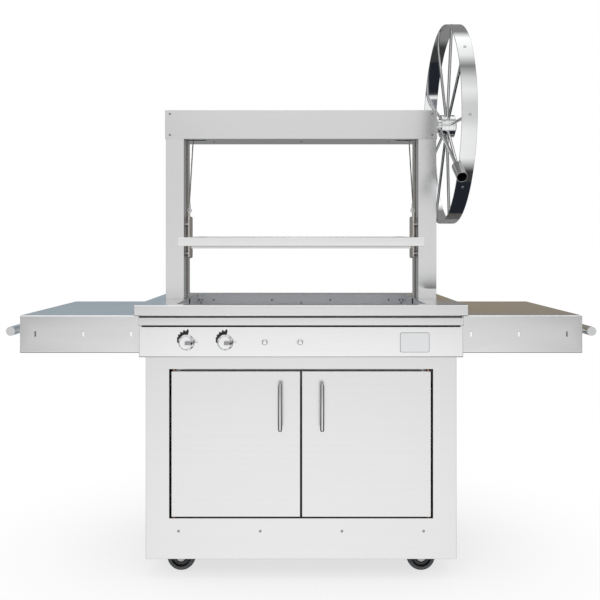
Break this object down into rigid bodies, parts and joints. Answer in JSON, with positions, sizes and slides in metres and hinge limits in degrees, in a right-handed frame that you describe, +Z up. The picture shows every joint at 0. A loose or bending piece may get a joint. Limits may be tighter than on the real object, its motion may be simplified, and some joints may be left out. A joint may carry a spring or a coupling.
{
  "type": "santa maria grill",
  "caption": "Steel cabinet grill on castors with side shelves and a V-channel rack that a spoked wheel and cables raise and lower over an open firebox.",
  "frame": {"origin": "on the floor, under the middle of the whole grill's bounding box", "axes": "+X to the grill's right as seen from the front, +Y to its back, +Z up"},
  "size_m": [2.0618, 0.8068, 1.9965],
  "materials": {
    "brushed_steel": "brushed",
    "polished_steel": "polished",
    "firebox_steel": "satin",
    "machined_steel": "turned",
    "bronze": "satin",
    "zinc_steel": "zinc plated",
    "cable_steel": "stranded",
    "castor_tyre": "matt"
  },
  "bodies": {
    "stand": {"cabinet_wrap": "brushed_steel", "cabinet_floor": "brushed_steel", "front_frame": "brushed_steel", "firebox_housing": "brushed_steel", "firebox_band": "brushed_steel", "worktop_deck": "brushed_steel", "control_panel": "brushed_steel", "side_shelf_left": "brushed_steel", "side_shelf_right": "brushed_steel", "post_left": "brushed_steel", "post_right": "brushed_steel", "beam_cover": "brushed_steel", "ash_pan": "brushed_steel", "guide_rails": "brushed_steel", "towel_bars": "polished_steel", "panel_screws": "polished_steel", "firebox_shell": "firebox_steel", "fire_grate": "firebox_steel", "burners": "firebox_steel", "door_pins": "bronze", "shaft_bearings": "bronze", "gas_valves": "bronze", "gas_manifold": "zinc_steel", "castor_plates": "zinc_steel"},
    "lift_wheel": {"drive_shaft": "machined_steel", "cable_drums": "machined_steel", "wheel_hub": "polished_steel", "wheel_rim": "polished_steel", "wheel_spokes": "polished_steel", "spoke_screws": "polished_steel", "crank_arm": "polished_steel"},
    "grip": {"crank_grip": "polished_steel"},
    "rack": {"rack_frame": "brushed_steel", "rack_grates": "brushed_steel", "grease_gutter": "brushed_steel", "carriage_left": "brushed_steel", "carriage_right": "brushed_steel", "cable_eyes": "polished_steel", "lifting_cable_left": "cable_steel", "lifting_cable_right": "cable_steel"},
    "roller_upper_left": {"roller_upper_left": "machined_steel"},
    "roller_lower_left": {"roller_lower_left": "machined_steel"},
    "door_left": {"door_left": "brushed_steel", "door_handle_left": "polished_steel"},
    "knob_left": {"knob_left": "polished_steel"},
    "button_left": {"button_left": "polished_steel"},
    "roller_upper_right": {"roller_upper_right": "machined_steel"},
    "roller_lower_right": {"roller_lower_right": "machined_steel"},
    "door_right": {"door_right": "brushed_steel", "door_handle_right": "polished_steel"},
    "knob_right": {"knob_right": "polished_steel"},
    "button_right": {"button_right": "polished_steel"},
    "fork_front_left": {"castor_fork_front_left": "zinc_steel"},
    "wheel_front_left": {"castor_wheel_front_left": "castor_tyre"},
    "fork_front_right": {"castor_fork_front_right": "zinc_steel"},
    "wheel_front_right": {"castor_wheel_front_right": "castor_tyre"},
    "fork_rear_left": {"castor_fork_rear_left": "zinc_steel"},
    "wheel_rear_left": {"castor_wheel_rear_left": "castor_tyre"},
    "fork_rear_right": {"castor_fork_rear_right": "zinc_steel"},
    "wheel_rear_right": {"castor_wheel_rear_right": "castor_tyre"}
  },
  "joints": [
    {"name": "wheel_turn", "type": "hinge", "parent": "stand", "child": "lift_wheel", "pos_m": [0, 0.02236, 1.6155], "axis": [-1, 0, 0], "range_deg": [-286.4, 439.2]},
    {"name": "rack_lift", "type": "slide", "parent": "stand", "child": "rack", "axis": [0, 0, 1], "range_m": [-0.15, 0.23], "deforming": ["lifting_cable_left", "lifting_cable_right"]},
    {"name": "grip_spin", "type": "hinge", "parent": "lift_wheel", "child": "grip", "pos_m": [0.536, -0.35946, 1.39683], "axis": [0, -0.8678, -0.497], "continuous": true},
    {"name": "roller_upper_left_spin", "type": "hinge", "parent": "rack", "child": "roller_upper_left", "pos_m": [-0.45, 0.02236, 1.232], "axis": [1, 0, 0], "range_deg": [-461, 706]},
    {"name": "roller_upper_right_spin", "type": "hinge", "parent": "rack", "child": "roller_upper_right", "pos_m": [0.45, 0.02236, 1.232], "axis": [1, 0, 0], "range_deg": [-461, 706]},
    {"name": "roller_lower_left_spin", "type": "hinge", "parent": "rack", "child": "roller_lower_left", "pos_m": [-0.45, 0.02236, 1.118], "axis": [1, 0, 0], "range_deg": [-706, 461]},
    {"name": "roller_lower_right_spin", "type": "hinge", "parent": "rack", "child": "roller_lower_right", "pos_m": [0.45, 0.02236, 1.118], "axis": [1, 0, 0], "range_deg": [-706, 461]},
    {"name": "door_left_swing", "type": "hinge", "parent": "stand", "child": "door_left", "pos_m": [-0.4385, -0.30164, 0.467], "axis": [0, 0, -1], "range_deg": [0, 105]},
    {"name": "door_right_swing", "type": "hinge", "parent": "stand", "child": "door_right", "pos_m": [0.4385, -0.30164, 0.467], "axis": [0, 0, 1], "range_deg": [0, 105]},
    {"name": "knob_left_turn", "type": "hinge", "parent": "stand", "child": "knob_left", "pos_m": [-0.389, -0.34664, 0.8215], "axis": [0, -1, 0], "range_deg": [0, 180]},
    {"name": "knob_right_turn", "type": "hinge", "parent": "stand", "child": "knob_right", "pos_m": [-0.2575, -0.34664, 0.8215], "axis": [0, -1, 0], "range_deg": [0, 180]},
    {"name": "button_left_press", "type": "slide", "parent": "stand", "child": "button_left", "axis": [0, 1, 0], "range_m": [0, 0.004], "stiffness_N_per_m": 400},
    {"name": "button_right_press", "type": "slide", "parent": "stand", "child": "button_right", "axis": [0, 1, 0], "range_m": [0, 0.004], "stiffness_N_per_m": 400},
    {"name": "castor_front_left_swivel", "type": "hinge", "parent": "stand", "child": "fork_front_left", "pos_m": [-0.402, -0.23214, 0.112], "axis": [0, 0, 1], "continuous": true},
    {"name": "castor_front_left_roll", "type": "hinge", "parent": "fork_front_left", "child": "wheel_front_left", "pos_m": [-0.424, -0.23214, 0.0505], "axis": [0, 1, 0], "continuous": true},
    {"name": "castor_front_right_swivel", "type": "hinge", "parent": "stand", "child": "fork_front_right", "pos_m": [0.402, -0.23214, 0.112], "axis": [0, 0, 1], "continuous": true},
    {"name": "castor_front_right_roll", "type": "hinge", "parent": "fork_front_right", "child": "wheel_front_right", "pos_m": [0.424, -0.23214, 0.0505], "axis": [0, 1, 0], "continuous": true},
    {"name": "castor_rear_left_swivel", "type": "hinge", "parent": "stand", "child": "fork_rear_left", "pos_m": [-0.402, 0.20486, 0.112], "axis": [0, 0, 1], "continuous": true},
    {"name": "castor_rear_left_roll", "type": "hinge", "parent": "fork_rear_left", "child": "wheel_rear_left", "pos_m": [-0.424, 0.20486, 0.0505], "axis": [0, 1, 0], "continuous": true},
    {"name": "castor_rear_right_swivel", "type": "hinge", "parent": "stand", "child": "fork_rear_right", "pos_m": [0.402, 0.20486, 0.112], "axis": [0, 0, 1], "continuous": true},
    {"name": "castor_rear_right_roll", "type": "hinge", "parent": "fork_rear_right", "child": "wheel_rear_right", "pos_m": [0.424, 0.20486, 0.0505], "axis": [0, 1, 0], "continuous": true}
  ],
  "couplings": [
    {"joint": "rack_lift", "follows": "wheel_turn", "m_per_rad": 0.03},
    {"joint": "roller_upper_left_spin", "follows": "wheel_turn", "ratio": 1.6043},
    {"joint": "roller_upper_right_spin", "follows": "wheel_turn", "ratio": 1.6043},
    {"joint": "roller_lower_left_spin", "follows": "wheel_turn", "ratio": -1.6043},
    {"joint": "roller_lower_right_spin", "follows": "wheel_turn", "ratio": -1.6043}
  ]
}
